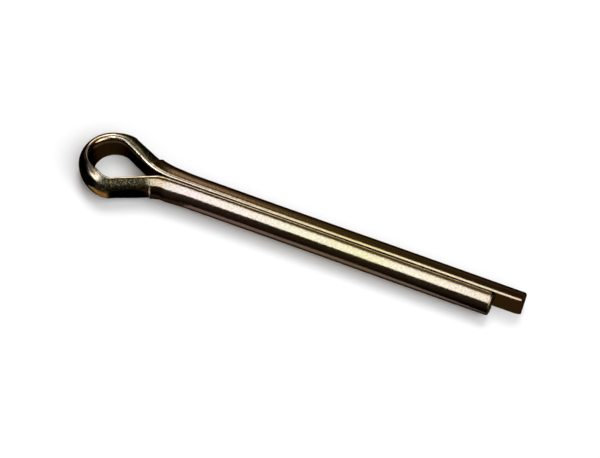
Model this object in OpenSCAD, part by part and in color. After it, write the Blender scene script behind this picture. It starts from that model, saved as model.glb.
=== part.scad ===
// Split cotter pin for a 6.3 mm hole, 56 mm long under the eye, extended prong, square-cut ends.
// One length of half-round wire is bent back on itself round an eye. Its two flat faces then lie
// against each other and make a round shank of two legs, which are spread apart behind the hole.
// +X runs from the eye to the tips, +Z along the eye's bore. The origin is on the shank's axis,
// where the two legs meet under the eye. The short leg lies on the -Y side.

/* [Shank] */
// Diameter over the two closed legs
shank_d = 5.8; // [5:0.1:7]
// Slit left between the flat faces of the two legs
leg_gap = 0.2; // [0.1:0.05:0.6]
// Rounding along the two edges of each flat face
edge_r = 0.3; // [0.2:0.05:0.5]
// Straight length of the short leg
short_leg = 56.8; // [20:0.1:100]
// How far the long leg runs on past the short one, to be caught when the legs are spread
prong = 4.9; // [1:0.1:10]

/* [Eye] */
// Clear diameter inside the eye
eye_bore = 7.2; // [5:0.1:8]
// Distance from the eye's centre back to where the legs meet
eye_reach = 10.75; // [10:0.05:16]
// How far the eye's centre sits off the shank's axis, towards the short leg
eye_offset = 0.3; // [0:0.05:0.6]
// Thickness of the wire round the eye, drawn thin by the bend
eye_wall = 2.15; // [1.7:0.05:2.6]
// Width of the wire round the eye, spread by the bend
eye_width = 6.9; // [5.8:0.1:7.4]
// How far the eye's bend is flattened inwards where it runs into the short leg
eye_flattening = 0.55; // [0:0.05:0.7]
// How much thicker the wire is in the middle of that flattened stretch
flattening_wall = 0.25; // [0:0.05:0.4]
// Half the turn of the eye's bend that is flattened, in degrees
flattening_turn = 57; // [40:1:65]

/* [Neck] */
// Radius of the easy bend in which the long leg's flat face leaves the shank
neck_r_long = 13.5; // [5:0.5:16]
// Radius of the sharper bend in which the short leg's flat face leaves the shank
neck_r_short = 5.7; // [3:0.1:9]
// Width of the wire in the neck
neck_width = 6.1; // [5.6:0.1:7]
// Thickness of the long leg's wire in the neck
neck_wall_long = 2.7; // [2.1:0.05:2.8]
// Thickness of the short leg's wire in the neck, which the closing jaw squeezed harder
neck_wall_short = 2.1; // [1.9:0.05:2.8]
// How far the metal swells out on the inner side of each neck bend, where bending crowds it together
neck_swell = 0.26; // [0:0.02:0.4]
// Distance from the shank's end, where the swelling starts, to its middle
swell_at = 2.7; // [2:0.1:3.5]
// Length over which the swelling dies away from its middle towards the eye
swell_reach = 6.5; // [5:0.1:7]
// Thickness left in the long leg's neck under the flat that the closing jaw pressed into its outside
jaw_wall_long = 2.55; // [2:0.05:2.8]
// Thickness left in the short leg's neck under the jaw's flat
jaw_wall_short = 1.7; // [1.6:0.05:2.8]
// Share of the neck's straight stretch that the long leg's jaw flat covers, from the eye on
jaw_share_long = 0.95; // [0.4:0.05:0.95]
// Share of the neck's straight stretch that the short leg's jaw flat covers, from the eye on
jaw_share_short = 0.8; // [0.4:0.05:0.95]
// Length of the step in which a jaw flat ends
jaw_step = 0.16; // [0.1:0.02:0.3]

/* [Tips] */
// Rounding of the outer rim that the shear's blade left on each cut end
tip_round = 0.3; // [0.1:0.05:0.5]
// Length of the edge that the shear dragged down where it cut into each flat face
roll_length = 1; // [0.3:0.1:1.5]
// Depth of that dragged edge at the cut end
roll_depth = 0.2; // [0.05:0.05:0.4]

/* [Smoothness] */
// Facets round the curved back of the wire's section in the head
back_steps = 18; // [10:1:24]
// Facets in each rounded edge of the section
edge_steps = 4; // [2:1:5]
// Degrees of the eye's bend between two sections
eye_step = 7; // [5:1:12]

/* [Hidden] */
plated_steel = "#b59a5b";

shank_r = shank_d / 2;
flat_y = leg_gap / 2;
leg_wall = shank_r - flat_y;
long_leg = short_leg + prong;
eye_r = eye_bore / 2;

// Centre of the small round along each edge of a flat face: it touches the flat and the shank's circle
edge_y = flat_y + edge_r;
edge_z = sqrt(pow(shank_r - edge_r, 2) - pow(edge_y, 2));
// Angle from the section's middle line out to where the curved back meets that round
back_angle = atan2(edge_z, edge_y);
// Half the section's own width, which eye_width and neck_width stretch
leg_half_width = edge_z + edge_r;

neck_steps = 7;
straight_steps = 4;
// Turn of the eye's bend, from each end, in which the wire passes from neck to eye thickness
thinning_turn = 40;
// Share of that passage in which the jaw's flat runs out into the eye's bend
jaw_fade = 0.1;
// The head ends in a slightly smaller root inside each leg, so that their surfaces never coincide
root_depth = 1.5;
root_scale = 0.97;
joint_scale = 0.995;
// How much wider than edge_r the trimming cutter is, so that it crosses the faces it rounds
trim_over = 1.03;
big = 2 * shank_d;

LONG = 1;
SHORT = -1;

// ---- section of the wire ----

// Half-round section of a leg: [distance out from the flat face, height], counter-clockwise
section = concat(
    [for (i = [0:back_steps])
        let (a = back_angle * (2 * i / back_steps - 1))
        [shank_r * cos(a) - flat_y, shank_r * sin(a)]],
    [for (i = [1:edge_steps])
        let (a = back_angle + (180 - back_angle) * i / edge_steps)
        [edge_r + edge_r * cos(a), edge_z + edge_r * sin(a)]],
    [for (i = [0:edge_steps - 1])
        let (a = -180 + (180 - back_angle) * i / edge_steps)
        [edge_r + edge_r * cos(a), -edge_z + edge_r * sin(a)]]
);
section_count = len(section);

// 0 before from, 1 after to, with a smooth pass between
function ease(x, from, to) =
    let (t = min(max((x - from) / (to - from), 0), 1))
    t * t * (3 - 2 * t);

function blend(a, b, t) = a + (b - a) * t;

// A smooth hump: 1 at middle and 0 from reach away on
function hump(x, middle, reach) =
    abs(x - middle) < reach ? (1 + cos(180 * (x - middle) / reach)) / 2 : 0;

// ---- path of the flat face through the head ----

// A side of the head is worked out with its leg on +Y, and the short leg's side is then mirrored
function eye_centre_y(side) = side == LONG ? -eye_offset : eye_offset;
function neck_r(side) = side == LONG ? neck_r_long : neck_r_short;
function neck_wall(side) = side == LONG ? neck_wall_long : neck_wall_short;
function jaw_wall(side) = side == LONG ? jaw_wall_long : jaw_wall_short;
function jaw_share(side) = side == LONG ? jaw_share_long : jaw_share_short;

// Rise from the eye's centre to the centre of the neck bend
function bend_rise(side) = flat_y + neck_r(side) - eye_centre_y(side);
function centre_distance(side) = norm([eye_reach, bend_rise(side)]);
// Slope of the straight stretch: the common tangent that passes between the two bends
function slope(side) =
    asin((eye_r + neck_r(side)) / centre_distance(side)) - atan2(bend_rise(side), eye_reach);

// Points where the straight stretch leaves the neck bend and joins the eye's bend
function bend_point(side, a) = [-neck_r(side) * sin(a), flat_y + neck_r(side) * (1 - cos(a))];
function bend_end(side) = bend_point(side, slope(side));
function eye_start(side) =
    let (a = slope(side))
    [-eye_reach + eye_r * sin(a), eye_centre_y(side) + eye_r * cos(a)];

// Wall with the swelling of the neck added, which follows the place of the wire's outer side
function swollen(wall, point, angle) =
    let (outer_x = point.x + wall * cos(angle))
    wall + neck_swell * hump(outer_x, -swell_at, outer_x > -swell_at ? swell_at : swell_reach);

// A station is [point on the flat face, angle of its outward normal, wall, half width, limit]. Where
// the limit is less than the wall, a jaw's flat cuts the wire's back off there
function bend_stations(side) = [
    for (i = [1:neck_steps])
        let (
            t = i / neck_steps,
            a = slope(side) * t,
            w = ease(t, 0, 1),
            point = bend_point(side, a),
            wall = swollen(blend(leg_wall, neck_wall(side), w), point, 90 - a)
        )
        [point, 90 - a, wall, blend(leg_half_width, neck_width / 2, w), wall]
];

// Distances along the straight stretch, each with 1 where the jaw pressed its flat. The stretch starts
// at the shank's end, and the flat begins in one narrow step
function straight_marks(side) =
    let (
        span = norm(eye_start(side) - bend_end(side)),
        edge = span * (1 - jaw_share(side))
    )
    concat(
        [for (i = [1:straight_steps - 1]) [edge * i / straight_steps, 0]],
        [[edge - jaw_step / 2, 0], [edge + jaw_step / 2, 1]],
        [for (i = [1:straight_steps]) [blend(edge, span, i / straight_steps), 1]]
    );

function straight_stations(side) =
    let (
        from = bend_end(side),
        along = eye_start(side) - from,
        span = norm(along),
        angle = 90 - slope(side)
    )
    [
        for (mark = straight_marks(side))
            let (
                point = from + along * mark[0] / span,
                wall = swollen(neck_wall(side), point, angle)
            )
            [point, angle, wall, neck_width / 2, blend(wall, jaw_wall(side), mark[1])]
    ];

function side_stations(side) = concat(bend_stations(side), straight_stations(side));

// Station seen on the other side of the shank's axis
function mirrored(station) =
    [[station[0].x, -station[0].y], -station[1], station[2], station[3], station[4]];

// The eye's bend runs from the long leg's side, round the crown, to the short leg's side
eye_from = 90 - slope(LONG);
eye_to = 270 + slope(SHORT);
eye_sections = ceil((eye_to - eye_from) / eye_step);

// How far a point of the bend is from the neck of its own side, 0 at the neck and 1 past the thinning
function thinned(a) = min(
    ease(a, eye_from, eye_from + thinning_turn),
    ease(-a, -eye_to, -eye_to + thinning_turn)
);
function near_side(a) = a < (eye_from + eye_to) / 2 ? LONG : SHORT;

// Share of the eye's flattening at an angle: it ends where the short leg's straight stretch begins
flattening_middle = eye_to - flattening_turn;
function flattened(a) = hump(a, flattening_middle, flattening_turn);
// Radius of the flat face round the eye's centre, and how it changes with the angle in radians
function inner_r(a) = eye_r - eye_flattening * flattened(a);
function inner_r_change(a) =
    abs(a - flattening_middle) < flattening_turn
        ? eye_flattening * 90 / flattening_turn * sin(180 * (a - flattening_middle) / flattening_turn)
        : 0;

eye_stations = [
    for (i = [1:eye_sections - 1])
        let (
            a = blend(eye_from, eye_to, i / eye_sections),
            w = thinned(a),
            wall = blend(neck_wall(near_side(a)), eye_wall, w) + flattening_wall * flattened(a)
        )
        [
            [-eye_reach + inner_r(a) * cos(a), -eye_offset + inner_r(a) * sin(a)],
            a - atan(inner_r_change(a) / inner_r(a)),
            wall,
            blend(neck_width / 2, eye_width / 2, w),
            blend(jaw_wall(near_side(a)), wall, ease(w, 0, jaw_fade))
        ]
];

function reversed(list) = [for (i = [len(list) - 1:-1:0]) list[i]];

stations = concat(
    side_stations(LONG),
    eye_stations,
    [for (s = reversed(side_stations(SHORT))) mirrored(s)]
);

// ---- sections carried along the path ----

// Section at a station: stretched to its wall and width, with the jaw's flat cut off its back
function ring(station) =
    let (
        out = [cos(station[1]), sin(station[1])],
        stretch_out = station[2] / leg_wall,
        stretch_up = station[3] / leg_half_width
    )
    [
        for (p = section)
            let (reach = min(p[0] * stretch_out, station[4]))
            [station[0].x + out.x * reach, station[0].y + out.y * reach, p[1] * stretch_up]
    ];

// The root of one side of the head: a leg's section at x, scaled about the middle of the wire
function root_ring(side, x, scale) = [
    for (p = section)
        let (reach = leg_wall / 2 + (p[0] - leg_wall / 2) * scale)
        [x, side * (flat_y + reach), p[1] * scale]
];

rings = concat(
    [root_ring(LONG, root_depth, root_scale), root_ring(LONG, 0, joint_scale)],
    [for (station = stations) ring(station)],
    [root_ring(SHORT, 0, joint_scale), root_ring(SHORT, root_depth, root_scale)]
);
ring_count = len(rings);

ring_points = [for (r = rings) for (p = r) p];

// Two triangles for each quad between one ring and the next
side_faces = [
    for (i = [0:ring_count - 2], j = [0:section_count - 1])
        let (
            k = (j + 1) % section_count,
            a = i * section_count + j,
            b = i * section_count + k,
            c = a + section_count,
            d = b + section_count
        )
        each [[a, b, c], [b, d, c]]
];
first_cap = [for (j = [section_count - 1:-1:0]) j];
last_cap = [for (j = [0:section_count - 1]) (ring_count - 1) * section_count + j];

// The eye and the neck, from inside one leg round to inside the other
module head() {
    polyhedron(points = ring_points, faces = concat(side_faces, [first_cap, last_cap]));
}

// ---- legs ----

// Round bar from the head to a leg's end, with the rim of its end rounded
module leg_bar(length) {
    rotate([0, 90, 0])
        rotate_extrude($fn = 96)
            polygon(concat(
                [[0, 0], [shank_r, 0]],
                [for (a = [0:15:90])
                    [shank_r - tip_round * (1 - cos(a)), length - tip_round * (1 - sin(a))]],
                [[0, length]]
            ));
}

// What is cut away to round one edge of a flat face, drawn in the section's plane
module edge_trim() {
    reach = 2 * edge_r;
    difference() {
        translate([edge_y, edge_z])
            polygon([
                [0, 0],
                [reach * cos(back_angle), reach * sin(back_angle)],
                [-reach, reach],
                [-reach, 0]
            ]);
        translate([edge_y, edge_z])
            circle(r = edge_r * trim_over, $fn = 48);
    }
}

// Half of the section's plane that a leg fills, with its two edges rounded
module leg_side() {
    difference() {
        translate([flat_y, -big / 2])
            square([big, big]);
        edge_trim();
        mirror([0, 1])
            edge_trim();
    }
}

// Wedge that the shear dragged off the end of the flat face
module shear_roll(length) {
    translate([length, flat_y, -big / 2])
        linear_extrude(height = big)
            polygon([
                [-2 * roll_length, -roll_depth],
                [roll_length, 2 * roll_depth],
                [roll_length, -big],
                [-2 * roll_length, -big]
            ]);
}

module leg(length) {
    difference() {
        intersection() {
            leg_bar(length);
            rotate([90, 0, 90])
                linear_extrude(height = length + 1)
                    leg_side();
        }
        shear_roll(length);
    }
}

module cotter_pin() {
    color(plated_steel)
        union() {
            head();
            leg(long_leg);
            mirror([0, 1, 0])
                leg(short_leg);
        }
}

cotter_pin();
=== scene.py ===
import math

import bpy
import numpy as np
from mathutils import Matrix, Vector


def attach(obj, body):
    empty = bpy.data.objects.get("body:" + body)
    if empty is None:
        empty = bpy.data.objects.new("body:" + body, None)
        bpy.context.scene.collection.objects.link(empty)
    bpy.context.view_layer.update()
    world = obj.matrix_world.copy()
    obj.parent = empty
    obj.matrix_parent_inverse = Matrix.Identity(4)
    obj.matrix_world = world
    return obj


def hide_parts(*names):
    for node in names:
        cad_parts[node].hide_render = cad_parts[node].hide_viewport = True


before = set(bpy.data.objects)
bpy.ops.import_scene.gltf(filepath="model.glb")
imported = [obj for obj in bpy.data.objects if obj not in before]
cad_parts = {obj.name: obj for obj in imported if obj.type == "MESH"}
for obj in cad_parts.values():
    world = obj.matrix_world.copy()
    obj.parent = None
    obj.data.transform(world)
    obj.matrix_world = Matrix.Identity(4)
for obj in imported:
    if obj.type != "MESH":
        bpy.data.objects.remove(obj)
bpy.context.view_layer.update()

# %% [markdown]
# # A split cotter pin
#
# A cotter pin is one length of half-round wire. It is bent back on itself round an eye, so that its
# two flat faces lie against each other and make a round shank. The shank goes through a hole in a
# bolt, and its two legs are then spread so that it can't fall out.
#
# The whole pin is one piece of metal. It could be put together from cut cylinders and a bent tube,
# but the wire changes its section all the way round the head, and joints would show in a mirror-like
# surface. So it is one mesh here: a half-round section carried along a path, worked out with numpy.
#
# Every measure is in millimetres, as on a drawing, and is turned into metres at the very end. X runs
# along the shank from the eye to the tips, Z along the eye's bore, and the short leg is on -Y.

MM = 0.001

# %% [markdown]
# ## The camera
#
# A long lens, far away, keeps the two legs almost parallel. The camera is turned a little to the
# right of the pin and looks down steeply. A constraint could aim it, but then its place would be
# hidden in the constraint. Here it is built from three directions, right, up and back, which are the
# three axes of the camera object. Its aim is then moved sideways and up, until the pin sits where it
# should in the picture.

# %% Camera
camera_turn = math.radians(21.301)
camera_elevation = math.radians(65.816)
camera_distance = 351.71
camera_lens = 126.12
sensor_width = 36
aim_right = 21.354
aim_up = -7.309
nearest, farthest = 10, 20000

right = Vector((math.cos(camera_turn), math.sin(camera_turn), 0))
back = Vector((
    math.sin(camera_turn) * math.cos(camera_elevation),
    -math.cos(camera_turn) * math.cos(camera_elevation),
    math.sin(camera_elevation),
))
up = back.cross(right)


def axes(x_axis, y_axis, z_axis, place):
    """Matrix of an object whose own axes are the three given directions and that stands at place."""
    return Matrix.Translation(place * MM) @ Matrix((x_axis, y_axis, z_axis)).transposed().to_4x4()


camera_data = bpy.data.cameras.new("camera")
camera_data.sensor_fit = "HORIZONTAL"
camera_data.sensor_width = sensor_width
camera_data.lens = camera_lens
camera_data.clip_start = nearest * MM
camera_data.clip_end = farthest * MM
camera = bpy.data.objects.new("camera", camera_data)
camera.matrix_world = axes(right, up, back, right * aim_right + up * aim_up + back * camera_distance)
bpy.context.scene.collection.objects.link(camera)
bpy.context.scene.camera = camera
bpy.context.scene.view_settings.view_transform = "Standard"
print("the camera stands", round(camera_distance), "mm away")

# %% [markdown]
# ## Measures of the pin
#
# Most of these are the sizes of the solid part. A few follow a real pin more closely than the plain
# solid does: the jaws that closed the neck pressed shallower flats, the short neck is a trace thicker
# on its inner side, and the slit isn't even. The legs almost touch under the eye, spring apart a
# little beyond the middle, and stay slightly open at the tips.

# %% Measures of the legs
LONG = +1
SHORT = -1

shank_r = 2.9
short_leg = 56.8
long_leg = 61.7
flat_y = 0.1  # each half round stops this far from the middle of the full circle
leg_wall = shank_r - flat_y

gap_at_neck = 0.06
gap_at_tips = 0.20
gap_bow = 0.10
gap_bow_at = 38
gap_bow_reach = 24
print("legs", short_leg, "and", long_leg, "mm")

# %% Measures of the eye and the necks
eye_r = 3.6  # of the hole
eye_reach = 10.75  # from the shank's end to the hole's middle
eye_offset = 0.3  # of the hole's middle, towards the short leg
eye_wall = 2.15
eye_width = 6.9
eye_flattening = 0.55
flattening_wall = 0.25  # the wall is this much thicker in the middle of the flattening
flattening_turn = math.radians(57)

neck_r = {LONG: 13.5, SHORT: 5.7}  # radius to which the flat face is bent
neck_wall = {LONG: 2.7, SHORT: 2.1}
neck_width = 6.1
thinning = {LONG: 6.0, SHORT: 4.4}  # length over which the wall gets there
short_neck_thicker = 0.14
neck_swell = 0.26
swell_at = 2.7
swell_reach = 6.5
jaw_wall = {LONG: 2.62, SHORT: 1.97}  # metal left between the flat face and the jaw's flat
jaw_start = {LONG: 3.15, SHORT: 2.8}  # from the shank's end to the jaw's step
print("eye", 2 * eye_r, "mm inside and", eye_width, "mm wide, necks bent to", neck_r[LONG], "and",
      neck_r[SHORT], "mm")

# %% [markdown]
# ## The section of the wire
#
# The wire is drawn through a half-round die, so its section is a half circle with rounded corners.
# Seen closely the back is not a perfect arc: the last pass leaves faint flats on it, a few hundredths
# of a millimetre deep. They can't be measured by eye, but they decide where a reflection starts and
# ends, so they are part of the shape and not of the paint. Half a circle from Blender's own tools has
# no such flats, so the outline is walked in small steps whose length follows the radius.
#
# A section is kept as two arrays, points and outward normals, with one row for each point round it.
# Sections with the same number of rows can be mixed: the wire's corners are round near the head and
# sharper towards the tips, and in the eye the upper corner was pressed much rounder by the tool.

# %% Section
EDGE_ROUND = 0.38
EDGE_SHARP = 0.10
EDGE_PRESSED = 0.9
PRESSED_WALL = 0.97
OUTLINE_STEPS = 6001
# Faint flats of the back: degrees from its middle, half the turn they take, length, and how far round
# from there the arc is a little tighter to make room for them
BACK_FLATS = [(62, 4.5, 1.0, 26), (37.5, 4.5, 1.2, 45)]


def back_outline(stop, count):
    """Curved back of the wire as points and normals, evenly spaced along its length.

    The outline turns from -stop to stop. Its radius at each angle is the shank's, longer inside a
    flat and a little shorter on both sides of it. The points are the running sum of radius times
    direction, r(t) (-sin t, cos t) dt, with what is missing at the end spread over all of them.
    """
    t = np.linspace(-stop, stop, OUTLINE_STEPS)
    radius = np.full(t.shape, shank_r)
    for angle, half_turn, length, room in BACK_FLATS:
        inside, beside = math.radians(half_turn), math.radians(room)
        extra = length / (2 * inside) - shank_r
        less = extra * math.sin(inside) / (math.sin(beside) - math.sin(inside))
        for centre in (-math.radians(angle), math.radians(angle)):
            away = np.abs(t - centre)
            radius += np.where(away < inside, extra, np.where(away < beside, -less, 0))
    steps = np.column_stack([-np.sin(t), np.cos(t)]) * radius[:, None] * (t[1] - t[0])
    walk = np.vstack([[0, 0], np.cumsum(0.5 * (steps[1:] + steps[:-1]), axis=0)])
    start = shank_r * np.array([math.cos(stop), -math.sin(stop)])
    missing = start * np.array([1, -1]) - start - walk[-1]
    walk += start + np.linspace(0, 1, len(t))[:, None] * missing
    length = np.concatenate([[0], np.cumsum(np.linalg.norm(np.diff(walk, axis=0), axis=1))])
    even = np.linspace(0, length[-1], count)
    out, height, angle = (np.interp(even, length, v) for v in (walk[:, 0], walk[:, 1], t))
    return np.column_stack([out - flat_y, height]), np.column_stack([np.cos(angle), np.sin(angle)])


def half_round(edge_r, back_count=72, edge_count=16, flat_count=6):
    """Half-round section as rows of (out from the flat face, height), with each row's normal and
    whether it lies on a corner.

    Each corner is a small round, c + e (cos b, sin b), that touches the flat and the shank's circle.
    The list starts in the flat's middle and goes down it first.
    """
    edge_y = flat_y + edge_r
    edge_z = math.sqrt((shank_r - edge_r) ** 2 - edge_y ** 2)
    back_angle = math.atan2(edge_z, edge_y)
    back_part, back_normal = back_outline(back_angle, back_count)
    b = np.linspace(back_angle, math.pi, edge_count + 1)[1:]
    corner = np.column_stack([edge_r + edge_r * np.cos(b), edge_z + edge_r * np.sin(b)])
    corner_normal = np.column_stack([np.cos(b), np.sin(b)])
    z = np.linspace(edge_z, 0, flat_count + 1)[1:]
    flat = np.column_stack([0 * z, z])
    flat_normal = np.column_stack([-1 + 0 * z, 0 * z])
    down = np.array([1, -1])
    points = np.vstack([flat[::-1] * down, corner[::-1] * down, back_part, corner, flat[:-1]])
    normals = np.vstack([flat_normal[::-1] * down, corner_normal[::-1] * down, back_normal,
                         corner_normal, flat_normal[:-1]])
    on_corner = np.concatenate([0 * z, 1 + 0 * b, np.zeros(back_count), 1 + 0 * b, 0 * z[:-1]])
    return points, normals, on_corner


round_section, _, corner_row = half_round(EDGE_ROUND)
sharp_section, sharp_normal, _ = half_round(EDGE_SHARP)
leg_half_width = round_section[:, 1].max()

# The pressed section keeps the plain lower half, and its wall is a little thinner
pressed_section, _, _ = half_round(EDGE_PRESSED)
pressed_section[:, 1] *= leg_half_width / pressed_section[:, 1].max()
lower_half = len(round_section) // 2
pressed_section[:lower_half] = round_section[:lower_half]
pressed_section[:, 0] *= PRESSED_WALL
print("section of", len(round_section), "points,", round(2 * leg_half_width, 2), "mm wide")

# %% [markdown]
# ## The path of the wire
#
# The wire's flat face is followed from the tip of the long leg, round the eye, to the tip of the short
# leg. Each place where a section will stand is a station: one row of an array. Its columns are the
# flat's place, the angle of the outward direction, the wall and half the width, and the limit beyond
# which a jaw pressed the metal away. Then come five shares or angles: how sharp the corners are, how
# far the upper one is pressed, how far the wire is rolled over, and whether it is bent or crushed.
#
# The legs are straight, each neck is an arc and a straight line, and the eye is a circle that is
# flattened where it runs into the short leg, because that is how far the bending tool reached.
#
# Two marks of the making are in the stations too. Metal is crowded together on the inner side of each
# neck bend and swells out there. The jaws that closed the pin then pressed a flat into each neck, with
# a narrow step where the jaw ended and a thin lip of metal pushed up beside it.

# %% Columns of a station
X, Y, ANGLE, WALL, HALF_WIDTH, LIMIT, SHARP, PRESSED, ROLLED, BENT, CRUSHED = range(11)
NO_LIMIT = 1.0  # a limit that far outside the wall cuts nothing
print("a station has", CRUSHED + 1, "columns")


# %% Smooth steps and humps
def ease(x, start, end):
    """0 before start and 1 after end, with the smooth pass t t (3 - 2 t) between."""
    t = np.clip((x - start) / (end - start), 0, 1)
    return t * t * (3 - 2 * t)


def hump(x, middle, reach):
    """A smooth hump: (1 + cos) / 2, which is 1 at middle and 0 from reach away on."""
    return 0.5 * (1 + np.cos(np.pi * np.clip((x - middle) / reach, -1, 1)))


def blend(a, b, t):
    """a where t is 0, b where t is 1, and in proportion between."""
    return a + (b - a) * t


def half_gap(x):
    """Half the slit's width at x along the shank: it opens evenly towards the tips, and a smooth
    hump beyond the middle is added."""
    opening = blend(gap_at_neck, gap_at_tips, np.clip(x / short_leg, 0, 1))
    return 0.5 * (opening + gap_bow * hump(x, gap_bow_at, gap_bow_reach))


def swollen(wall, x, angle):
    """Wall plus the neck's swelling, which follows the place of the wire's outer side along X."""
    return wall + neck_swell * hump(x + wall * np.cos(angle), -swell_at, swell_reach)


print("the slit is", [round(float(2 * half_gap(x)), 2) for x in (0, gap_bow_at, short_leg)],
      "mm wide at the neck, beyond the middle and at the short tip")

# %% Legs
TIP_STRETCH = 1.5  # the last part of a leg, whose rings are made with the cut end
SHARP_FROM = 30
LEG_STEP = 0.8
SWOLLEN_FROM, SWOLLEN_STATIONS = 6, 61


def leg(side, length):
    """Stations of a leg from just short of its tip to the neck, closer together near the neck."""
    far = np.linspace(length - TIP_STRETCH, SWOLLEN_FROM, int(length / LEG_STEP))
    near = np.linspace(SWOLLEN_FROM, 0, SWOLLEN_STATIONS)[1:-1]
    x = np.concatenate([far, near])
    angle = np.full(len(x), math.pi / 2)
    wall = swollen(leg_wall, x, angle)
    row = np.ones(len(x))
    return np.column_stack([x, half_gap(x), angle, wall, row * leg_half_width, wall + NO_LIMIT,
                            np.minimum(x / SHARP_FROM, 1), 0 * x, 0 * x, 0 * x, 0 * x])


def mirrored(stations):
    """The same stations on the other side of the shank, walked the other way."""
    turned = stations[::-1].copy()
    turned[:, [Y, ANGLE]] *= -1
    return turned


print("a leg has", len(leg(LONG, long_leg)), "stations")

# %% Necks
JAW_STEP = 0.14
JAW_LIP = 0.05
LIP_WIDTH = 0.11
NECK_STEP = 0.08
FINE_STEP = 0.02
FINE_PART = (-0.35, 0.25)  # stations stand closer together this far round the jaw's step
CRUSH_FADE = (-0.6, 1.0)  # the metal gets crushed over this stretch round the step
NECK_PRESSED = (0.3, 0.9)  # shares of the long neck's length where its corner gets pressed
TRIAL_STEPS = 400


def neck_slope(side):
    """Slope of the straight stretch: the tangent that crosses between neck bend and eye."""
    rise = half_gap(0) + neck_r[side] + side * eye_offset
    distance = math.hypot(eye_reach, rise)
    return math.asin((eye_r + neck_r[side]) / distance) - math.atan2(rise, eye_reach)


def neck(side):
    """Stations from the shank's end to the eye, worked out as for the long leg's side.

    The bend is a circle's arc and the straight stretch is its end plus distance times direction.
    Under the jaw the reach is limited to a plane parallel to the straight stretch, which over the
    bend is r - (r - w) / cos(slope - a) away from the flat face.
    """
    slope, r = neck_slope(side), neck_r[side]
    bend_end = np.array([-r * math.sin(slope), half_gap(0) + r * (1 - math.cos(slope))])
    eye_start = np.array([-eye_reach + eye_r * math.sin(slope),
                          -side * eye_offset + eye_r * math.cos(slope)])
    span = np.linalg.norm(eye_start - bend_end)
    total = r * slope + span

    def place(s):
        """Turn so far, X, Y, outward angle, wall and share of the bend, s along the flat face."""
        a = np.minimum(s / r, slope)
        on = np.maximum(s - r * slope, 0) / span
        x = -r * np.sin(a) + on * (eye_start - bend_end)[0]
        y = half_gap(0) + r * (1 - np.cos(a)) + on * (eye_start - bend_end)[1]
        w = ease(a, 0, slope)
        angle = math.pi / 2 - a
        wall = swollen(blend(leg_wall, neck_wall[side], ease(s, 0, thinning[side])), x, angle)
        thicker = short_neck_thicker * w * (side == SHORT)
        return (a, x - thicker * np.cos(angle), y - thicker * np.sin(angle), angle,
                wall + thicker, w)

    trial = np.linspace(0, total, TRIAL_STEPS)
    _, x, _, angle, wall, _ = place(trial)
    step_at = np.interp(jaw_start[side], -(x + wall * np.cos(angle)), trial)
    fine = np.arange(step_at + FINE_PART[0], step_at + FINE_PART[1], FINE_STEP)
    s = np.unique(np.concatenate([np.arange(0, total, NECK_STEP), [total], fine]))
    a, x, y, angle, wall, w = place(s)
    plane = r - (r - jaw_wall[side]) / np.cos(slope - a)
    limit = blend(wall + NO_LIMIT, plane, ease(s, step_at - JAW_STEP / 2, step_at + JAW_STEP / 2))
    wall = wall + JAW_LIP * np.exp(-((s - step_at + JAW_STEP) / LIP_WIDTH) ** 2)
    crushed = ease(s, step_at + CRUSH_FADE[0], step_at + CRUSH_FADE[1])
    pressed = ease(s, NECK_PRESSED[0] * total, NECK_PRESSED[1] * total) * (side == LONG)
    return np.column_stack([x, y, angle, wall, blend(leg_half_width, neck_width / 2, w), limit,
                            0 * s, pressed, 0 * s, w, crushed])


for side, name in ((LONG, "long"), (SHORT, "short")):
    print("the", name, "leg's neck slopes", round(math.degrees(neck_slope(side)), 1), "degrees")

# %% Eye
EYE_STATIONS = 150
THINNING_TURN = math.radians(40)
JAW_FADE = 0.1
EYE_ROLL = math.radians(3)
ROLLED_PART = np.radians([120, 60])
EYE_PRESSED_TO = np.radians([190, 250])
THICKER_TURN = 1.0
# Turns into the eye, in radians, at which the crushed metal begins to fade and is gone
CRUSHED_INTO_EYE = {LONG: (0.1, 0.6), SHORT: (0.2, 0.6)}


def eye():
    """Stations round the eye, r(a) = eye_r - flattening times hump(a), from long to short side.

    The outward normal of such a curve stands at a - atan(r' / r). The wall eases from each neck's
    to the eye's, and the width likewise. Where the wire is rolled over, its inner side starts deeper
    by half the width times tan(roll), so that its lower edge stays in place and the upper leans in.
    """
    start = math.pi / 2 - neck_slope(LONG)
    end = 3 * math.pi / 2 + neck_slope(SHORT)
    a = np.linspace(start, end, EYE_STATIONS)[1:-1]
    middle = end - flattening_turn
    flattened = hump(a, middle, flattening_turn)
    r = eye_r - eye_flattening * flattened
    turn = np.clip((a - middle) / flattening_turn, -1, 1)
    r_change = eye_flattening * math.pi / (2 * flattening_turn) * np.sin(np.pi * turn)
    w = np.minimum(ease(a, start, start + THINNING_TURN), ease(-a, -end, THINNING_TURN - end))
    near_long = a < (start + end) / 2
    wall = blend(np.where(near_long, neck_wall[LONG], neck_wall[SHORT]), eye_wall, w)
    wall = wall + flattening_wall * flattened
    jaw = np.where(near_long, jaw_wall[LONG], jaw_wall[SHORT])
    limit = blend(jaw, wall + NO_LIMIT, ease(w, 0, JAW_FADE))
    fade, gone = CRUSHED_INTO_EYE[LONG]
    crushed_long = ease(-a, -start - gone, -start - fade)
    fade, gone = CRUSHED_INTO_EYE[SHORT]
    crushed_short = ease(a, end - gone, end - fade)
    rolled = EYE_ROLL * hump(a, *ROLLED_PART)
    thicker = eye_width / 2 * np.tan(rolled) + short_neck_thicker * hump(a, end, THICKER_TURN)
    r = r - thicker
    return np.column_stack([
        -eye_reach + r * np.cos(a), -eye_offset + r * np.sin(a), a - np.arctan2(r_change, r),
        wall + thicker, blend(neck_width, eye_width, w) / 2, limit, 0 * a,
        1 - ease(a, *EYE_PRESSED_TO), rolled, 0 * a + 1, np.maximum(crushed_long, crushed_short),
    ])


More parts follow.
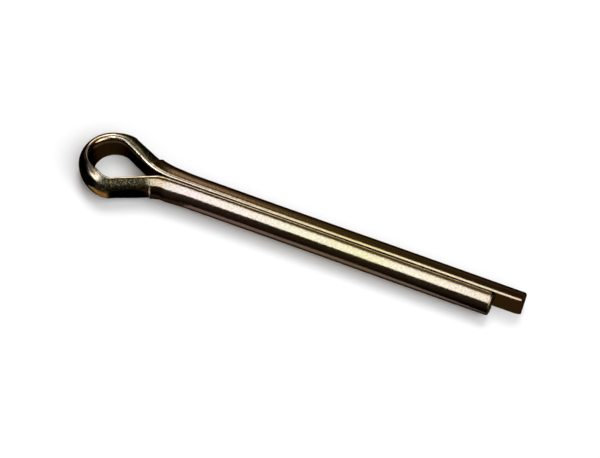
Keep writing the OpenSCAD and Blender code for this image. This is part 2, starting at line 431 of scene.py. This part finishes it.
stations = np.vstack([leg(LONG, long_leg), neck(LONG), eye(),
                      mirrored(neck(SHORT)), mirrored(leg(SHORT, short_leg))])
print("the wire's path has", len(stations), "stations")

# %% [markdown]
# ## The sweep
#
# A curve with a bevel would carry a section along a path too, but always one section, only larger or
# smaller. Here, at each station, the section is stretched to the wall and width there, cut off where a
# jaw pressed it, and stood up on the path. A soft minimum keeps the cut's edge from being a knife edge.
#
# Beside its place each point also keeps the place that it had in the straight wire, before it was
# bent: along the wire, out from the flat, and up. Drawing leaves its fine lines along the wire, so the
# finish has to follow them round the eye, and these three numbers let it do so without any seam.

# %% Sweep
JAW_SOFT = 0.3
SOFT_LIFT = 0.2
SOFT_FROM = 0.3
ON_JAW_FLAT = (-0.05, 0.15)
RIM_KEPT = (0.1, 0.6)  # the jaws didn't reach the rim, which is this far out from the flat face


def soft_min(a, b, soft):
    """The smaller of a and b, with the corner between them rounded by about soft."""
    return 0.5 * (a + b - np.sqrt((a - b) ** 2 + soft ** 2))


def swept(rows):
    """Rings of points and the same rings in the straight wire, both as stations x section x 3, and
    where a jaw's flat cut them.

    A point is the station's place plus the outward direction times the reach, with its height.
    """
    shape = blend(round_section, sharp_section, rows[:, SHARP, None, None])
    shape = blend(shape, pressed_section, rows[:, PRESSED, None, None])
    reach = shape[:, :, 0] * (rows[:, WALL] / leg_wall)[:, None]
    height = shape[:, :, 1] * (rows[:, HALF_WIDTH] / leg_half_width)[:, None]
    limit = rows[:, LIMIT, None]
    on_flat = ease(reach - limit, *ON_JAW_FLAT)
    soft = JAW_SOFT * ease(rows[:, WALL, None] + NO_LIMIT - limit, SOFT_FROM, NO_LIMIT)
    reach = soft_min(reach, limit + SOFT_LIFT * soft, soft)
    roll = rows[:, ROLLED, None]
    reach, height = (reach * np.cos(roll) - height * np.sin(roll),
                     height * np.cos(roll) + reach * np.sin(roll))
    outward = np.column_stack([np.cos(rows[:, ANGLE]), np.sin(rows[:, ANGLE])])
    x = rows[:, X, None] + outward[:, 0, None] * reach
    y = rows[:, Y, None] + outward[:, 1, None] * reach
    middle = rows[:, [X, Y]] + 0.5 * rows[:, WALL, None] * outward
    along = np.concatenate([[0], np.cumsum(np.linalg.norm(np.diff(middle, axis=0), axis=1))])
    straight = np.stack([np.broadcast_to(along[:, None], reach.shape), reach, height], axis=2)
    return np.stack([x, y, height], axis=2), straight, on_flat


body, body_straight, on_jaw_flat = swept(stations)
body_bent = np.broadcast_to(stations[:, BENT, None], body.shape[:2])
body_crushed = stations[:, CRUSHED, None] * ease(body_straight[:, :, 1], *RIM_KEPT) * (1 - on_jaw_flat)
print("the wire is", round(body_straight[-1, 0, 0] + 2 * TIP_STRETCH, 1), "mm long")

# %% [markdown]
# ## The cut ends
#
# Both tips are cut off square by a shear. Its blade comes down on the round back and rounds the rim
# there, and it drags the far edge of the cut with it, so the last millimetre of each flat face dips
# down to the cut. A Bevel modifier would round both edges alike, so more rings are added instead. They
# make the rim and the dip, and then shrink to a small flat face in the middle.

# %% Tips
TIP_ROUND = 0.45
DRAG_LENGTH = 1.0
DRAG_DEPTH = 0.2
DRAG_SOFT = 0.05
TIP_RINGS, RIM_RINGS, CAP_RINGS = 16, 10, 9
SMALLEST_RING = 0.03
CUT_FADE = [0.3, 0.7, 1.0]  # how far the last rings of the rim belong to the cut


def tip(side, length, along_end, direction):
    """Rings from the leg's last station to the middle of its cut end, their straight-wire places
    and a share that is 1 on the cut.

    Over the rim the section is moved in along its normals by r (1 - cos a) while x runs on by
    r sin a. The dragged flat is a plane that rises from the flat face at a steady slope.
    """
    x = np.linspace(length - TIP_STRETCH, length - TIP_ROUND, TIP_RINGS)[1:]
    a = np.linspace(0, math.pi / 2, RIM_RINGS)[1:]
    inset = np.concatenate([0 * x, TIP_ROUND * (1 - np.cos(a))])
    x = np.concatenate([x, length - TIP_ROUND * (1 - np.sin(a))])
    rim = sharp_section[None] - sharp_normal[None] * inset[:, None, None]
    shrink = np.linspace(1, SMALLEST_RING, CAP_RINGS)[1:]
    middle = np.array([leg_wall * 0.5, 0])
    rings = np.vstack([rim, middle + (rim[-1] - middle)[None] * shrink[:, None, None]])
    x = np.concatenate([x, np.full(len(shrink), length)])[:, None]
    drag = DRAG_DEPTH * (x - length + DRAG_LENGTH) / DRAG_LENGTH
    reach = -soft_min(-rings[:, :, 0], -drag, DRAG_SOFT)
    y = side * (half_gap(x) + reach)
    height = rings[:, :, 1]
    across = np.broadcast_to(x, reach.shape)
    along = along_end + direction * (across - length + TIP_STRETCH)
    cut = np.concatenate([0 * inset, np.ones(len(shrink))])
    cut[len(inset) - len(CUT_FADE):len(inset)] = CUT_FADE
    return (np.stack([across, y, height], axis=2), np.stack([along, reach, height], axis=2),
            np.broadcast_to(cut[:, None], reach.shape))


long_tip = [part[::-1] for part in tip(LONG, long_leg, 0.0, -1)]
short_tip = tip(SHORT, short_leg, body_straight[-1, 0, 0], +1)
rings = np.vstack([long_tip[0], body, short_tip[0]])
straight_wire = np.vstack([long_tip[1], body_straight, short_tip[1]])
sheared = np.vstack([long_tip[2], 0 * body_bent, short_tip[2]])
bent = np.vstack([0 * long_tip[2], body_bent, 0 * short_tip[2]])
crushed = np.vstack([0 * long_tip[2], body_crushed, 0 * short_tip[2]])
corner = np.broadcast_to(corner_row, bent.shape) * (1 - sheared)
print("the cut ends add", 2 * len(long_tip[0]), "rings")

# %% [markdown]
# ## The mesh
#
# Ring after ring is joined with quads, and each end is closed with one small face. What is known about
# each point goes into the mesh as attributes, which the finish will read: its place in the straight
# wire, and how far it is bent, crushed, sheared or on a corner.

# %% Mesh
def swept_mesh(name, rings):
    """Mesh in metres of quads between neighbouring rings, with its faces turned outwards."""
    count, size = rings.shape[:2]
    i, j = np.meshgrid(np.arange(count - 1), np.arange(size), indexing="ij")
    k = (j + 1) % size
    quads = np.stack([i * size + j, (i + 1) * size + j, (i + 1) * size + k, i * size + k], axis=2)
    caps = [list(range(size)), list(range((count - 1) * size, count * size))[::-1]]
    mesh = bpy.data.meshes.new(name)
    mesh.from_pydata((rings * MM).reshape(-1, 3).tolist(), [], quads.reshape(-1, 4).tolist() + caps)
    mesh.polygons.foreach_set("use_smooth", np.ones(len(mesh.polygons), bool))
    return mesh


def keep(mesh, name, values):
    """Stores one number or one vector for each point of the mesh under a name."""
    kind, field = ("FLOAT_VECTOR", "vector") if values.ndim == 3 else ("FLOAT", "value")
    attribute = mesh.attributes.new(name, kind, "POINT")
    attribute.data.foreach_set(field, np.ascontiguousarray(values, dtype=np.float32).ravel())


pin_mesh = swept_mesh("cotter_pin_wire", rings)
facts = {"straight_wire": straight_wire * MM, "bent": bent, "crushed": crushed, "sheared": sheared,
         "corner": corner}
for name, values in facts.items():
    keep(pin_mesh, name, values)
pin = bpy.data.objects.new("cotter_pin_wire", pin_mesh)
bpy.context.scene.collection.objects.link(pin)
print("the pin has", len(pin_mesh.polygons), "faces and carries", list(facts))

# %% [markdown]
# ## The finish
#
# The steel is zinc plated and then dipped in a yellow chromate bath. The film that this leaves is
# thinner than a wavelength of light, so its colour comes from interference: where it gets a little
# thicker the gold turns pink, then greenish. The film drifts along the wire as the bath ran off it.
#
# Metal has no colour of its own under the gloss. Its base colour is how much of each colour it throws
# back, and the finish is therefore built as a base colour, a roughness and a bump. Each comes from
# noise, because noise stays sharp from close by and needs no unwrapping round the eye. The pattern of
# the drawn lines reads the straight-wire place. The drift of the film reads the place in the finished
# pin, because the bath came after the bending.
#
# The helpers below put each node into the tree that is called tree, and pass its output on, so that a
# finish can be written down like a sum.

# %% Node helpers
plated = bpy.data.materials.new("yellow_chromate_on_zinc")
plated.use_nodes = True
tree = plated.node_tree
shader = tree.nodes["Principled BSDF"]


def node(kind, inputs=(), **settings):
    """New node with its settings, and with its inputs set to values or joined to other sockets."""
    made = tree.nodes.new("ShaderNode" + kind)
    for name, value in settings.items():
        setattr(made, name, value)
    for name, value in dict(inputs).items():
        if isinstance(value, bpy.types.NodeSocket):
            tree.links.new(value, made.inputs[name])
        else:
            made.inputs[name].default_value = value
    return made


def maths(operation, a, b=0.5, c=0.0):
    """One step of arithmetic on numbers or sockets. MULTIPLY_ADD is a times b plus c."""
    return node("Math", {0: a, 1: b, 2: c}, operation=operation).outputs[0]


def between(value, low, high, new_low=0.0, new_high=1.0):
    """Value moved from the range low to high into a new range, and held there, with soft ends."""
    return node("MapRange", {"Value": value, "From Min": low, "From Max": high, "To Min": new_low,
                             "To Max": new_high}, interpolation_type="SMOOTHSTEP").outputs[0]


def mixed(share, a, b):
    """Two colours mixed by a share: a where it is 0, b where it is 1."""
    return node("Mix", {0: share, 6: a, 7: b}, data_type="RGBA").outputs[2]


def speckle(place, size_mm, detail=2.0, stretch=None):
    """Noise with features of about size_mm. stretch multiplies the three directions first."""
    if stretch:
        place = node("VectorMath", {0: place, 1: stretch}, operation="MULTIPLY").outputs[0]
    return node("TexNoise", {"Vector": place, "Scale": 1 / (size_mm * MM), "Detail": detail}).outputs[0]


def stored(name):
    """Node that reads an attribute which the mesh carries."""
    return node("Attribute", attribute_name=name, attribute_type="GEOMETRY")


wire_place = stored("straight_wire").outputs["Vector"]
is_bent = stored("bent").outputs["Fac"]
is_crushed = stored("crushed").outputs["Fac"]
is_sheared = stored("sheared").outputs["Fac"]
is_corner = stored("corner").outputs["Fac"]
pin_place = node("TexCoord").outputs["Object"]
pin_x, pin_y, _ = node("SeparateXYZ", {0: pin_place}).outputs
print("the finish is called", plated.name)

# %% [markdown]
# ### Colour of the film
#
# A colour ramp holds the film's colours in the order in which they follow each other along the pin.
# Its place is the distance along X, moved to and fro by a slow noise, so that the colours meet in
# clouds and not at a line. Over that lie fine dark specks, where the crystals of the zinc are coarse.
# Most of them are where the wire was bent.
#
# Where the jaws crushed the metal its colour is darkened nearly to black, with pits and with lighter
# flecks. On the long neck some of the olive film still shows.

# %% Film colour
# X in mm, and how much red, green and blue the film throws back there
FILM = [
    (-17, (0.300, 0.250, 0.200)),
    (-6, (0.215, 0.180, 0.100)),
    (3, (0.290, 0.222, 0.165)),
    (15, (0.285, 0.225, 0.150)),
    (23, (0.280, 0.235, 0.140)),
    (33, (0.275, 0.240, 0.118)),
    (42, (0.290, 0.255, 0.165)),
    (51, (0.295, 0.255, 0.180)),
    (57, (0.280, 0.245, 0.170)),
    (62, (0.280, 0.215, 0.180)),
]
film_from, film_to = FILM[0][0], FILM[-1][0]
CLOUD_SIZE = 7
DRIFT = 0.16  # whole way that the clouds move the colours, as a share of the film's length

cloud = speckle(pin_place, CLOUD_SIZE, 3)
drift = maths("MULTIPLY_ADD", cloud, DRIFT, -DRIFT / 2)
along_film = node("MapRange", {"Value": pin_x, "From Min": film_from * MM, "From Max": film_to * MM})
film = node("ValToRGB", {"Fac": maths("ADD", along_film.outputs[0], drift)})
ramp = film.color_ramp
while len(ramp.elements) < len(FILM):
    ramp.elements.new(0.5)
for element, (x, film_colour) in zip(ramp.elements, FILM):
    element.position = (x - film_from) / (film_to - film_from)
    element.color = (*film_colour, 1)
colour = film.outputs["Color"]
print("the film has", len(FILM), "colours")

# %% Specks and crushed metal
SPECK = (0.105, 0.095, 0.03, 1)
CRUSHED_METAL = (0.014, 0.012, 0.005, 1)
OLIVE = (0.30, 0.30, 0.14, 1)
FLECK = (0.155, 0.135, 0.065, 1)
PIT = (0.012, 0.010, 0.004, 1)
SPECK_SIZE, FLECK_SIZE, PIT_SIZE = 0.22, 0.2, 0.26

specks = between(speckle(wire_place, SPECK_SIZE, 3, (0.6, 1, 1)), 0.47, 0.6)
specks = maths("MULTIPLY", specks, between(is_bent, 0, 1, 0.15, 0.5))
blackened = maths("MULTIPLY", is_crushed, 0.95)
olive_left = maths("MULTIPLY", is_crushed, between(pin_y, 2 * MM, 4 * MM, 0, 0.13))
flecks = maths("MULTIPLY", is_crushed, between(speckle(wire_place, FLECK_SIZE, 1), 0.5, 0.62))
pits = between(speckle(wire_place, PIT_SIZE, 3), 0.43, 0.6, 1, 0)
pits = maths("MULTIPLY", pits, between(is_crushed, 0, 1, 0.12, 0.92))
for share, paint in ((specks, SPECK), (blackened, CRUSHED_METAL), (olive_left, OLIVE), (flecks, FLECK),
                     (pits, PIT)):
    colour = mixed(share, colour, paint)
print("specks, crushed metal, flecks and pits lie on the film")

# %% [markdown]
# ### Wear, painted patches and the cut ends
#
# The corners were rubbed bright in the barrel, apart from those that the jaws had crushed. Amber is
# painted under the eye, where its wall reflects the floor, so that this reflection shows amber. A
# near-black patch of painted shade darkens the eye's upper rim on the left, and a pale, rough patch on
# the jaw's step of the short neck is a painted highlight. The cut ends were plated too, but over a torn
# surface, so they are duller and browner.
#
# A blot is painted by distance: full inside one distance from its middle and gone beyond another. A
# little noise on that distance makes its edge ragged.

# %% Local colours
RUBBED = (0.55, 0.49, 0.38, 1)
# Amber of the painted reflection under the eye, where its wall reflects the floor
AMBER = (0.36, 0.19, 0.06, 1)
# Near-black of the painted shade on the eye's upper left rim
SHADE_PAINT = (0.030, 0.026, 0.023, 1)
# Pale colour of the painted highlight on the jaw's step of the short neck
STEP_HIGHLIGHT = (0.42, 0.34, 0.23, 1)
TORN = (0.16, 0.125, 0.06, 1)
WEAR_SIZE = 1.2

# Middle and radius of the painted amber reflection under the eye
amber_patch_middle = (-10.2, -6.0, 0.0)
amber_patch_r = 1.9
# Painted shade on the eye's upper left rim: its middle, and the distances where it is full and gone
shade_patch_middle = (-14.3, -1.8, 3.4)
shade_patch_full, shade_patch_gone = 1.9, 3.2
# Painted highlight on the jaw's step of the short neck: its middle and its size
step_highlight_middle = (-2.82, -3.15, 1.1)
step_highlight_size = (0.26, 0.8, 1.1)


def away_from(middle, size=(1, 1, 1)):
    """Distance from a place on the pin in mm, or in sizes: the length of (place - middle) / size."""
    offset = node("VectorMath", {0: pin_place, 1: Vector(middle) * MM}, operation="SUBTRACT").outputs[0]
    offset = node("VectorMath", {0: offset, 1: Vector(size) * MM}, operation="DIVIDE").outputs[0]
    return node("VectorMath", {0: offset}, operation="LENGTH").outputs["Value"]


def ragged(distance, size_mm, depth):
    """Distance plus noise that runs from -depth / 2 to depth / 2, with features of size_mm."""
    noise = maths("MULTIPLY_ADD", speckle(pin_place, size_mm, 2), depth, -depth / 2)
    return maths("ADD", distance, noise)


worn_here = between(speckle(wire_place, WEAR_SIZE, 2), 0.35, 0.6, 0.4, 0.9)
rubbed = maths("MULTIPLY", is_corner, worn_here)
rubbed = maths("MULTIPLY", rubbed, between(is_bent, 0, 1, 0.3, 1))
rubbed = maths("MULTIPLY", rubbed, between(is_crushed, 0, 1, 1, 0.1))
# Painted reflection: amber where the eye's wall reflects the floor
in_amber_patch = between(ragged(away_from(amber_patch_middle), 1.0, 2.0), amber_patch_r, 0.5 * amber_patch_r)
# Painted shade: the eye's upper left rim is darkened nearly to black
in_painted_shade = between(away_from(shade_patch_middle), shade_patch_gone, shade_patch_full, 0, 0.95)
# Painted highlight: a pale, rough patch on the jaw's step
on_step_highlight = between(ragged(away_from(step_highlight_middle, step_highlight_size), 0.3, 3.0), 1.0, 0.5)
is_torn = maths("MULTIPLY", is_sheared, 0.7)
for share, paint in ((rubbed, RUBBED), (in_amber_patch, AMBER), (in_painted_shade, SHADE_PAINT), (on_step_highlight, STEP_HIGHLIGHT),
                     (is_torn, TORN)):
    colour = mixed(share, colour, paint)
tree.links.new(colour, shader.inputs["Base Color"])
print("the colour takes", len(tree.nodes), "nodes")

# %% [markdown]
# ### Roughness and bump
#
# The wire is nearly a mirror, as the die left it, and the bending tool smoothed it a little more.
# Where the jaws crushed it, it is matt and coarsely grained, and the cut ends and the painted highlight
# on the jaw's step are rough too. Fine lines run along the whole wire.
#
# A bump's distance is the real height of one unit of relief. It is a thousandth of a millimetre here,
# so the numbers below are heights in thousandths of a millimetre. At a grazing angle most metals turn
# white, but this film stays dark, which is what the specular tint of a metal is for.

# %% Roughness
GRAIN_SIZE = 0.22
DRAWN_ROUGH, BENT_ROUGH = 0.15, 0.14
GRAIN_ROUGH = 0.12
ROUGHER = ((is_crushed, 0.26), (is_sheared, 0.2), (is_corner, -0.08), (on_step_highlight, 0.45))
GRAZING = (0.08, 0.05, 0.02, 1)

grain = speckle(wire_place, GRAIN_SIZE, 3)
rough = between(is_bent, 0.1, 1, DRAWN_ROUGH, BENT_ROUGH)
rough = maths("ADD", rough, maths("MULTIPLY_ADD", grain, GRAIN_ROUGH, -GRAIN_ROUGH / 2))
for share, more in ROUGHER:
    rough = maths("MULTIPLY_ADD", share, more, rough)
tree.links.new(rough, shader.inputs["Roughness"])
shader.inputs["Metallic"].default_value = 1
shader.inputs["Specular Tint"].default_value = GRAZING
print("roughness", DRAWN_ROUGH, "on the legs and", BENT_ROUGH, "round the eye")

# %% Bump
LINE_SIZE, TORN_SIZE = 0.16, 0.22
LINE_HEIGHT = 2
LEG_GRAIN, BENT_GRAIN, CRUSHED_GRAIN = 20, 14, 50
TORN_HEIGHT = 16

lines = speckle(wire_place, LINE_SIZE, 2, (0.02, 1, 1))
torn = speckle(wire_place, TORN_SIZE, 3, (1, 0.35, 1))
relief = maths("MULTIPLY", lines, LINE_HEIGHT)
for noise, height in ((grain, between(is_bent, 0, 1, LEG_GRAIN, BENT_GRAIN)),
                      (grain, maths("MULTIPLY", is_crushed, CRUSHED_GRAIN)),
                      (torn, maths("MULTIPLY", is_sheared, TORN_HEIGHT))):
    relief = maths("MULTIPLY_ADD", noise, height, relief)
bump = node("Bump", {"Height": relief, "Distance": 0.001 * MM, "Strength": 1.0})
tree.links.new(bump.outputs["Normal"], shader.inputs["Normal"])
pin_mesh.materials.append(plated)
print("the finish has", len(tree.nodes), "nodes")

# %% [markdown]
# ## The floor
#
# The pin lies on white card. It rests on the eye's lower edge at one end and on the legs' tips at the
# other, and the eye is a little wider than the shank is thick. A finished part stays straight in its
# own frame, so it is the floor that is tilted, by half a degree, to meet both. The card has no gloss.

# %% Floor
eye_low = -eye_width / 2
tip_low = -shank_r
tilt = (tip_low - eye_low) / (long_leg + eye_reach)
FLOOR_HALF = 1500
WHITE = 0.95


def floor_z(x):
    """Height of the floor at x: a straight line through the eye's and the tips' lowest points."""
    return eye_low + (x + eye_reach) * tilt


def card(name, corners, lift, material):
    """A flat sheet with the given corners, parallel to the floor and lift above it."""
    sheet = bpy.data.meshes.new(name)
    sheet.from_pydata([(x * MM, y * MM, (floor_z(x) + lift) * MM) for x, y in corners], [],
                      [list(range(len(corners)))])
    sheet.materials.append(material)
    made = bpy.data.objects.new(name, sheet)
    bpy.context.scene.collection.objects.link(made)
    return made


def paper(name, grey, glow=(0, 0, 0)):
    """Paper without gloss, and a glow of its own: painted light for what it would throw back if lit."""
    made = bpy.data.materials.new(name)
    made.use_nodes = True
    surface = made.node_tree.nodes["Principled BSDF"]
    surface.inputs["Base Color"].default_value = (grey, grey, grey, 1)
    surface.inputs["Roughness"].default_value = 1
    surface.inputs["Specular IOR Level"].default_value = 0
    surface.inputs["Emission Color"].default_value = (*glow, 1)
    surface.inputs["Emission Strength"].default_value = 1
    return made


FRONT_LEFT, FRONT_RIGHT = (-FLOOR_HALF, -FLOOR_HALF), (FLOOR_HALF, -FLOOR_HALF)
REAR_LEFT, REAR_RIGHT = (-FLOOR_HALF, FLOOR_HALF), (FLOOR_HALF, FLOOR_HALF)
floor = card("floor", [FRONT_LEFT, FRONT_RIGHT, REAR_RIGHT, REAR_LEFT], 0, paper("white_card", WHITE))
print("the floor is tilted by", round(math.degrees(math.atan(tilt)), 2), "degrees")

# %% [markdown]
# ## Dark cards
#
# A mirror-like round bar shows the whole room on its back. In a studio, dark cards are laid round such
# a thing, just out of view, so that it gets dark edges and doesn't fade into the white floor. Here a
# black card covers the floor in front and a brown one the floor behind. They leave two gaps: a white
# one in front of the eye, and a strip along the legs, where a rose card warms their lower edge. Small
# brown cards lie under the eye and in front of the neck.
#
# These cards are seen in reflections only: the camera, the lamps and the shadows pass through them.
# The brown and the rose cards glow by themselves, so what the pin reflects of them is painted light.

# %% Dark cards
STRIP_NEAR = [(-16.5, -5), (-16.5, -7), (-8.5, -7), (-8.5, -2.5), (-3, -2.5), (4, -6), (57, -6)]
STRIP_FAR = [(57, -6), (48, -9), (33, -17), (3, -17), (-3, -2.5), (-8.5, -2.5), (-8.5, -12),
             (-16.5, -12), (-16.5, -5)]
LEFT_EDGE, RIGHT_EDGE = (-FLOOR_HALF, -5), (FLOOR_HALF, -6)
# Name, corners, height over the floor, name of the paper, and its glow
CARDS = [
    ("black_card_front", [FRONT_LEFT, FRONT_RIGHT, RIGHT_EDGE, *STRIP_FAR, LEFT_EDGE],
     0.02, "black_card", (0, 0, 0)),
    ("brown_card_rear", [LEFT_EDGE, *STRIP_NEAR, RIGHT_EDGE, REAR_RIGHT, REAR_LEFT],
     0.02, "brown_card", (0.20, 0.14, 0.065)),
    ("brown_card_under_eye", [(-14.5, -3.5), (-7, -3.5), (-7, 3.5), (-14.5, 3.5)],
     0.03, "dark_brown_card", (0.11, 0.075, 0.045)),
    ("brown_card_under_neck", [(-3, -13), (2.5, -13), (2.5, -2.5), (-3, -2.5)],
     0.03, "red_brown_card", (0.10, 0.06, 0.045)),
    ("rose_card_strip", [(1, -6), *STRIP_NEAR[-2:], *STRIP_FAR[1:4]],
     0.01, "rose_card", (0.55, 0.43, 0.54)),
]
for name, corners, lift, paper_name, glow in CARDS:
    sheet = card(name, corners, lift, paper(paper_name, 0, glow))
    sheet.visible_camera = False
    sheet.visible_diffuse = False
    sheet.visible_shadow = False
    sheet.visible_transmission = False
print(len(CARDS), "cards lie round the pin")

# %% [markdown]
# ## The room
#
# What no card and no lamp covers is the room itself. It is dark and warm, with a lighter wall behind
# on the left. The world's Generated coordinates are the direction in which a ray leaves the scene,
# from -1 to 1 along each axis, so a wall can be painted by direction and needs no mesh. The node
# helpers now work on the world's tree.

# %% World
ROOM = (0.040, 0.019, 0.006, 1)
WALL_GLOW = (0.50, 0.33, 0.16, 1)

world = bpy.data.worlds.new("dim_warm_room")
bpy.context.scene.world = world
world.use_nodes = True
tree = world.node_tree
look_x, look_y, _ = node("SeparateXYZ", {0: node("TexCoord").outputs["Generated"]}).outputs
at_left = maths("MULTIPLY", between(look_x, -0.05, -0.38), between(look_x, -0.68, -0.38))
at_rear = between(look_y, 0.3, 0.8)
room = mixed(maths("MULTIPLY", at_left, at_rear), ROOM, WALL_GLOW)
tree.links.new(room, tree.nodes["Background"].inputs["Color"])
tree.nodes["Background"].inputs["Strength"].default_value = 1
print("the room is dark, with a warm wall behind on the left")

# %% [markdown]
# ## The light
#
# Long softboxes hang over the pin, along it. Each one shows up as one bright band on the shank, so
# each is placed by the two angles between which the shank sees it: a wide one in front, a narrower one
# behind. Both are made up of several lengths with their own tint, because the bands on such a wire
# shift and change colour along it. A few more stand to the left and right of it, for the eye and for
# the rims of the cut ends. Glowing planes would show the same reflections. Area lamps are used here,
# because their size, brightness and tint are plain settings and need no mesh and no material.
#
# They light the pin alone, and round lamps light the floor alone, through light linking. The floor
# can then be plain white with a soft shadow, while the metal keeps its dark and bright bands.

# %% Lamps
def linked_to(name, thing):
    """A collection that holds one thing, for a lamp that lights only that."""
    group = bpy.data.collections.new(name)
    group.objects.link(thing)
    return group


lit_pin = linked_to("lit_by_softboxes", pin)
lit_floor = linked_to("lit_by_floor_lamps", floor)


def lamp(name, shape, size, radiance, place, out, side, receivers, tint):
    """An area lamp of even brightness that faces along -out.

    Blender's power of such a lamp is brightness times pi times area.
    """
    data = bpy.data.lights.new(name, "AREA")
    data.shape = shape
    data.size = size[0] * MM
    data.size_y = size[1] * MM
    area = size[0] * size[1] * MM * MM * (math.pi / 4 if shape == "DISK" else 1)
    data.energy = radiance * math.pi * area
    data.color = tint
    made = bpy.data.objects.new(name, data)
    made.matrix_world = axes(side, out.cross(side), out, place)
    made.visible_camera = False
    made.light_linking.receiver_collection = receivers
    bpy.context.scene.collection.objects.link(made)


def seen_at(azimuth, elevation):
    """Direction to a place in the room, and the level direction across it."""
    azimuth, elevation = math.radians(azimuth), math.radians(elevation)
    out = Vector((math.cos(elevation) * math.cos(azimuth), math.cos(elevation) * math.sin(azimuth),
                  math.sin(elevation)))
    return out, Vector((0, 0, 1)).cross(out).normalized()


# %% Softboxes
SOFTBOX_AWAY = 300
# Name, the two angles from +Y over the top to -Y, from and to along X, brightness and tint
SOFTBOXES = [
    ("front_softbox_head", 108, 151, -160, -45, 3.8, (0.98, 1.08, 1.36)),
    ("front_softbox_a", 110, 151.5, -45, -15, 3.8, (0.98, 1.19, 1.65)),
    ("front_softbox_b", 111.5, 152, -15, 12, 3.8, (1.0, 1.06, 1.35)),
    ("front_softbox_c", 112.5, 154, 12, 75, 3.65, (1.02, 1.03, 1.16)),
    ("front_softbox_right", 125, 147, 115, 175, 2.4, (0.98, 1.0, 1.22)),
    ("front_softbox_left", 102, 142, -290, -160, 3.8, (1.0, 0.94, 0.95)),
    ("glint_lamp", 142, 166, -400, -120, 5.6, (1.0, 1.0, 1.1)),
    ("rim_softbox", 120, 172, 180, 560, 2.6, (1.0, 0.90, 0.78)),
    ("top_glow", 72, 110, -50, 75, 0.30, (1.0, 0.55, 0.15)),
    ("rear_softbox", 45, 70, -64, 100, 4.2, (1.0, 0.96, 0.86)),
    ("rear_softbox_middle", 45, 58, -150, -64, 2.9, (1.0, 0.86, 0.76)),
    ("rear_softbox_left", 45, 70, -400, -150, 3.0, (1.0, 0.86, 0.8)),
    ("rear_strip", 8, 20, -110, -40, 1.0, (1.0, 0.82, 0.7)),
    ("rear_strip_middle", 0, 45, -170, -110, 3.4, (1.0, 0.96, 0.88)),
    ("rear_strip_left", 0, 45, -420, -170, 2.6, (1.0, 0.87, 0.84)),
]


def softbox(name, low, high, x_from, x_to, radiance, tint):
    """A softbox that the shank sees between two angles: its height is 2 d tan(half the angle)."""
    middle = math.radians((low + high) / 2)
    out = Vector((0, math.cos(middle), math.sin(middle)))
    side = Vector((1, 0, 0))
    tall = 2 * SOFTBOX_AWAY * math.tan(math.radians(high - low) / 2)
    lamp(name, "RECTANGLE", (x_to - x_from, tall), radiance,
         out * SOFTBOX_AWAY + side * (x_from + x_to) / 2, out, side, lit_pin, tint)


for row in SOFTBOXES:
    softbox(*row)

out, side = seen_at(azimuth=172, elevation=25)
lamp("left_softbox", "RECTANGLE", (240, 100), 1.0, out * SOFTBOX_AWAY, out, side, lit_pin,
     (1.0, 0.88, 0.84))
print(len(SOFTBOXES) + 1, "softboxes light the pin")

# %% Floor lamps
FLOOR_LIGHT = (0.965, 0.99, 1.015)
FLOOR_LAMP_AWAY = 2500
# Name, azimuth, elevation, half the angle that it fills, and its share of the floor's light
FLOOR_LAMPS = [
    ("floor_lamp_right", -17, 57, 21, 0.55),
    ("floor_lamp_rear", 90, 70, 13, 0.42),
    ("floor_lamp_front", -80, 50, 22, 0.10),
]


def floor_lamp(name, azimuth, elevation, half_angle, share):
    """A round soft lamp. It lights level ground by its brightness times sin(half angle) squared
    times sin(elevation), so its brightness is the wanted share over both."""
    out, side = seen_at(azimuth, elevation)
    elevation, half_angle = math.radians(elevation), math.radians(half_angle)
    size = 2 * FLOOR_LAMP_AWAY * math.tan(half_angle)
    radiance = share / (math.sin(half_angle) ** 2 * math.sin(elevation))
    lamp(name, "DISK", (size, size), radiance, out * FLOOR_LAMP_AWAY, out, side, lit_floor, FLOOR_LIGHT)


for row in FLOOR_LAMPS:
    floor_lamp(*row)
print("lamps:", [light.name for light in bpy.data.lights])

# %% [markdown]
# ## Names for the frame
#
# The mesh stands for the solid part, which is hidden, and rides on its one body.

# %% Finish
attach(pin, "root")
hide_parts("cotter_pin")
